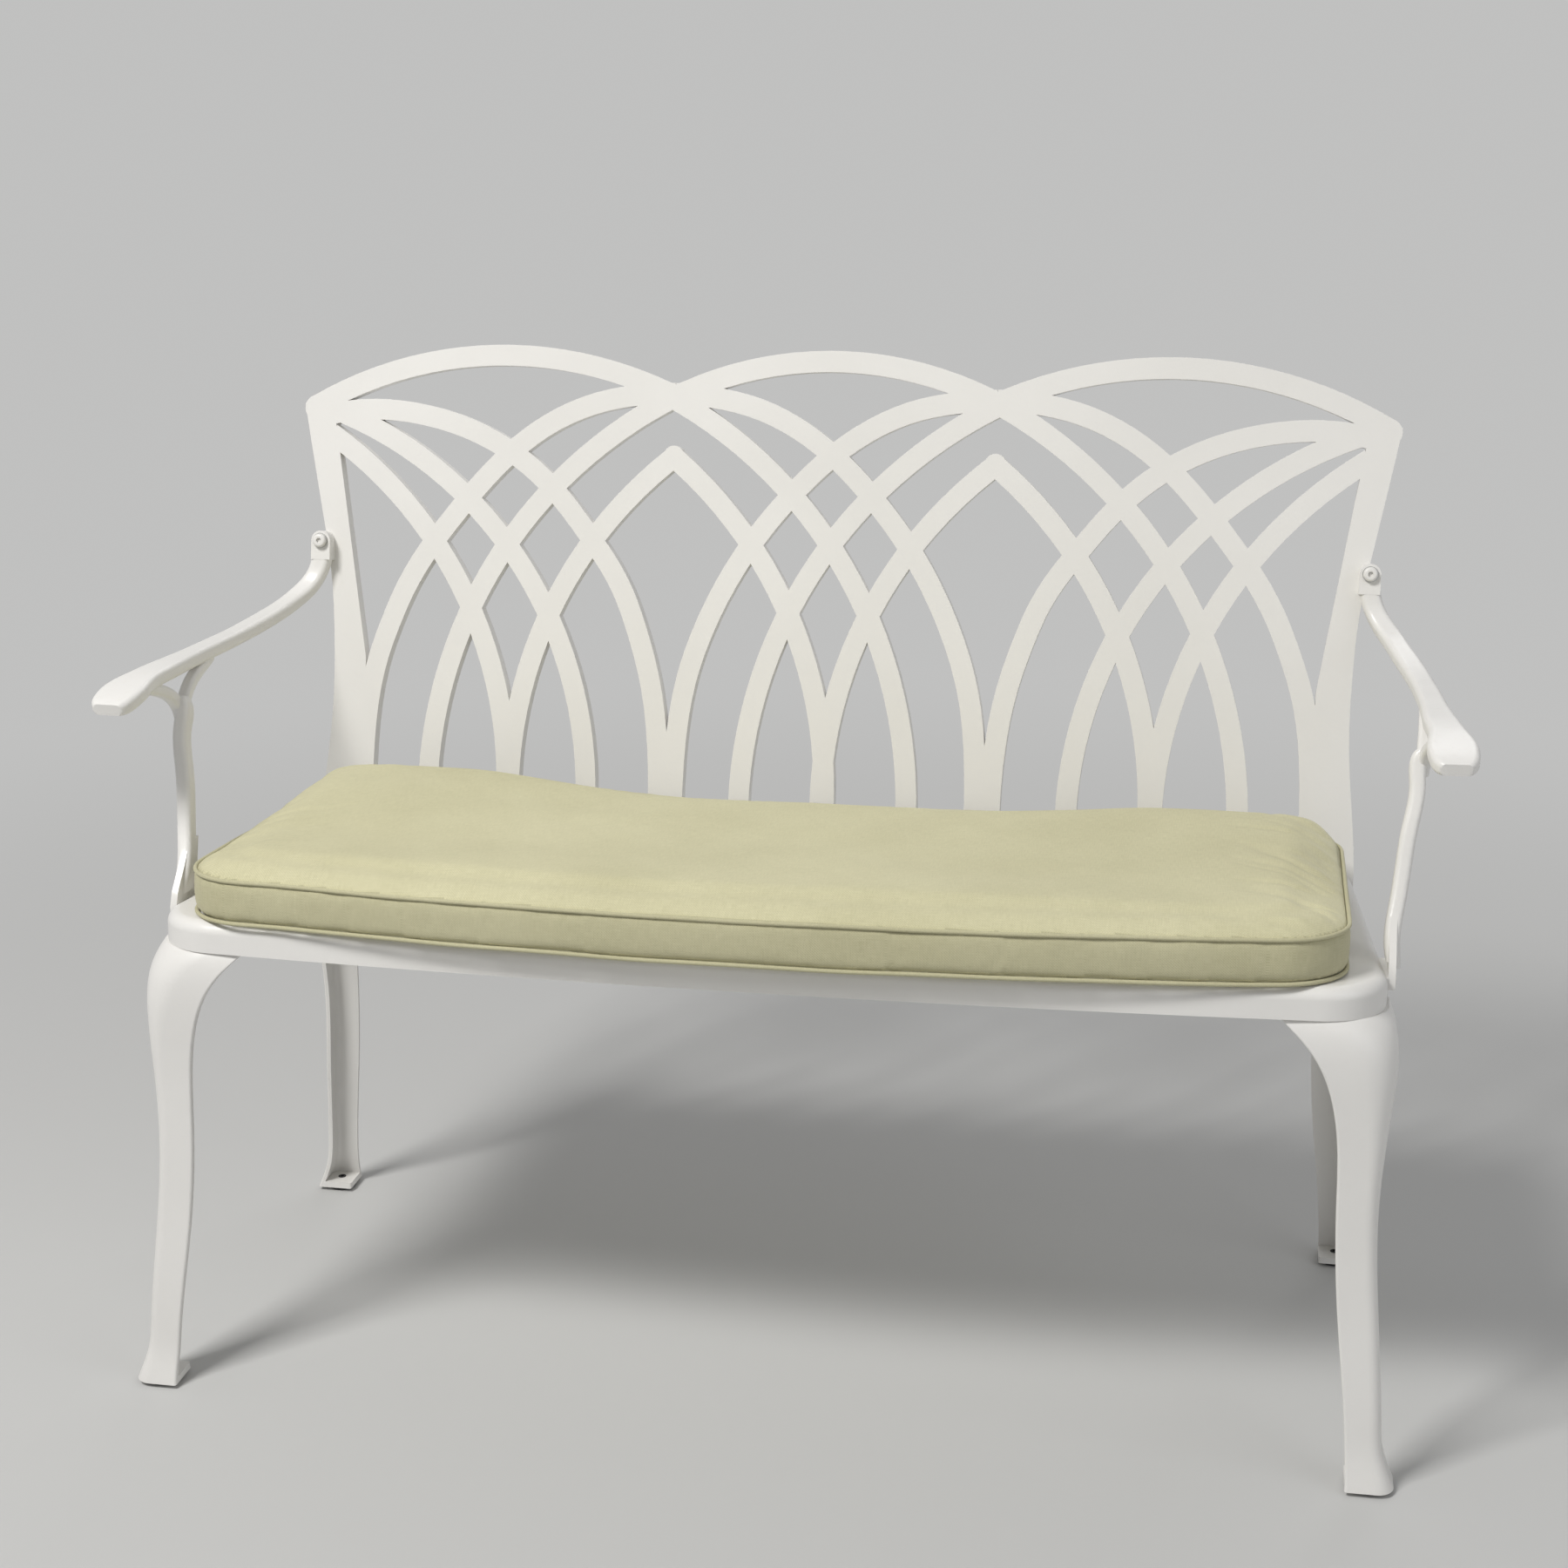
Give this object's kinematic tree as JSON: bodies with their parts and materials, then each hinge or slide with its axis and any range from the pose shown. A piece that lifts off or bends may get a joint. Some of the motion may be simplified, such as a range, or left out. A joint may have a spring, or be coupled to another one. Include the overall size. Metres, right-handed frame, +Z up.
{
  "type": "garden bench",
  "caption": "Cast aluminium garden bench with an interlaced arch back, forked curved arms, cabriole legs and a loose boxed seat cushion.",
  "frame": {"origin": "on the floor, below the centre of the bench's bounding box", "axes": "+Z up, -Y the way the sitter faces, +X along the bench towards the viewer's right seen from the front"},
  "size_m": [1.1894, 0.545, 0.884],
  "materials": {
    "frame_paint": "satin",
    "painted_bolts": "satin",
    "fasteners": "brushed",
    "glide_nylon": "matte",
    "cushion_fabric": "woven",
    "foam": "open cell, matte",
    "zip_tape": "woven",
    "zip_metal": "satin"
  },
  "bodies": {
    "frame": {"arm_bolts": "painted_bolts", "arm_left": "frame_paint", "arm_nuts": "fasteners", "arm_pad_bolts": "painted_bolts", "arm_pad_nuts": "fasteners", "arm_right": "frame_paint", "arm_washers": "fasteners", "back_bolts": "fasteners", "back_nuts": "fasteners", "back_panel": "frame_paint", "back_washers": "fasteners", "glide_front_left": "glide_nylon", "glide_front_right": "glide_nylon", "glide_rear_left": "glide_nylon", "glide_rear_right": "glide_nylon", "leg_bolts": "fasteners", "leg_front_left": "frame_paint", "leg_front_right": "frame_paint", "leg_rear_left": "frame_paint", "leg_rear_right": "frame_paint", "leg_washers": "fasteners", "seat_panel": "frame_paint"},
    "cushion": {"cushion_cover": "cushion_fabric", "cushion_foam": "foam", "cushion_piping_bottom": "cushion_fabric", "cushion_piping_top": "cushion_fabric", "cushion_zip": "zip_tape"},
    "zip_runner": {"zip_slider": "zip_metal"},
    "zip_tab": {"zip_pull": "zip_metal"}
  },
  "joints": [
    {"name": "cushion_lift", "type": "slide", "parent": "frame", "child": "cushion", "axis": [0, 0, 1], "range_m": [0, 0.3]},
    {"name": "zip_run", "type": "slide", "parent": "cushion", "child": "zip_runner", "axis": [-1, 0, 0], "range_m": [0, 0.77]},
    {"name": "zip_pull_swing", "type": "hinge", "parent": "zip_runner", "child": "zip_tab", "pos_m": [0.388, 0.15792, 0.43322], "axis": [1, 0, 0], "range_deg": [0, 30]}
  ]
}
